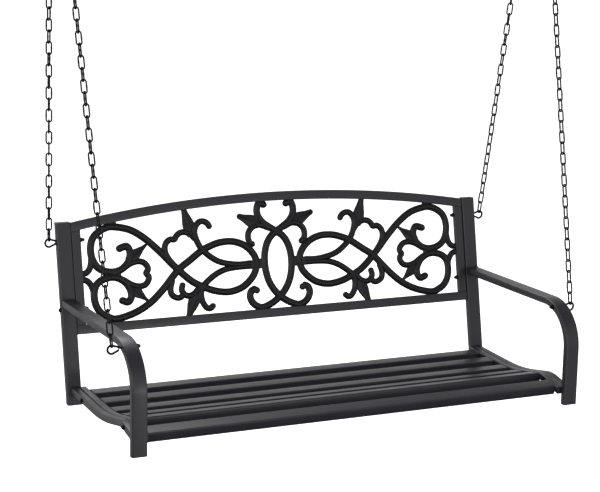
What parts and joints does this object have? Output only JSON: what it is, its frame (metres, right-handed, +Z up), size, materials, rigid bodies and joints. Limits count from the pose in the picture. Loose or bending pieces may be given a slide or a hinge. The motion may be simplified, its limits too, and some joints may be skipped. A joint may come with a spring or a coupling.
{
  "type": "hanging porch swing",
  "caption": "Metal two-seat porch swing with armrests, slatted contoured seat and cast scroll back, hung by link chains from screw-in ceiling hooks.",
  "frame": {"origin": "middle of the whole part's width and depth, at the level of the bench's feet", "axes": "+X to the sitter's left (the viewer's right from the front), +Y from the front legs to the back, +Z up"},
  "size_m": [1.436, 0.5972, 1.7517],
  "materials": {
    "frame": "satin black powder coat on steel tube",
    "casting": "black powder coat on cast scrollwork",
    "hardware": "black coated chain, bolts and hooks",
    "plug": "moulded black plastic"
  },
  "bodies": {
    "ceiling_hooks": {"left_ceiling_hook": "hardware", "right_ceiling_hook": "hardware"},
    "swing_on_chains": {"left_back_post": "frame", "right_back_post": "frame", "left_arm_and_leg": "frame", "right_arm_and_leg": "frame", "left_side_rail": "frame", "right_side_rail": "frame", "post_top_plugs": "plug", "post_foot_plugs": "plug", "leg_foot_plugs": "plug", "back_top_rail": "frame", "back_bottom_rail": "frame", "back_left_stile": "frame", "back_right_stile": "frame", "back_scroll_casting": "casting", "seat_left_rail": "frame", "seat_right_rail": "frame", "seat_rail_plugs": "plug", "seat_slat_1": "frame", "seat_slat_2": "frame", "seat_slat_3": "frame", "seat_slat_4": "frame", "seat_slat_5": "frame", "seat_slat_6": "frame", "left_front_eye_bolt": "hardware", "right_front_eye_bolt": "hardware", "left_back_eye_bolt": "hardware", "right_back_eye_bolt": "hardware", "eye_bolt_washers": "hardware", "eye_bolt_cap_nuts": "hardware", "panel_bolts": "hardware", "panel_washers": "hardware", "panel_cap_nuts": "hardware", "seat_bolts": "hardware", "seat_washers": "hardware", "seat_nuts": "hardware", "left_front_chain": "hardware", "right_front_chain": "hardware", "left_back_chain": "hardware", "right_back_chain": "hardware", "left_hanging_ring": "hardware", "right_hanging_ring": "hardware"}
  },
  "joints": [
    {"name": "swing", "type": "hinge", "parent": "ceiling_hooks", "child": "swing_on_chains", "pos_m": [0, 0.1034, 1.65], "axis": [1, 0, 0], "range_deg": [-30, 30]}
  ]
}
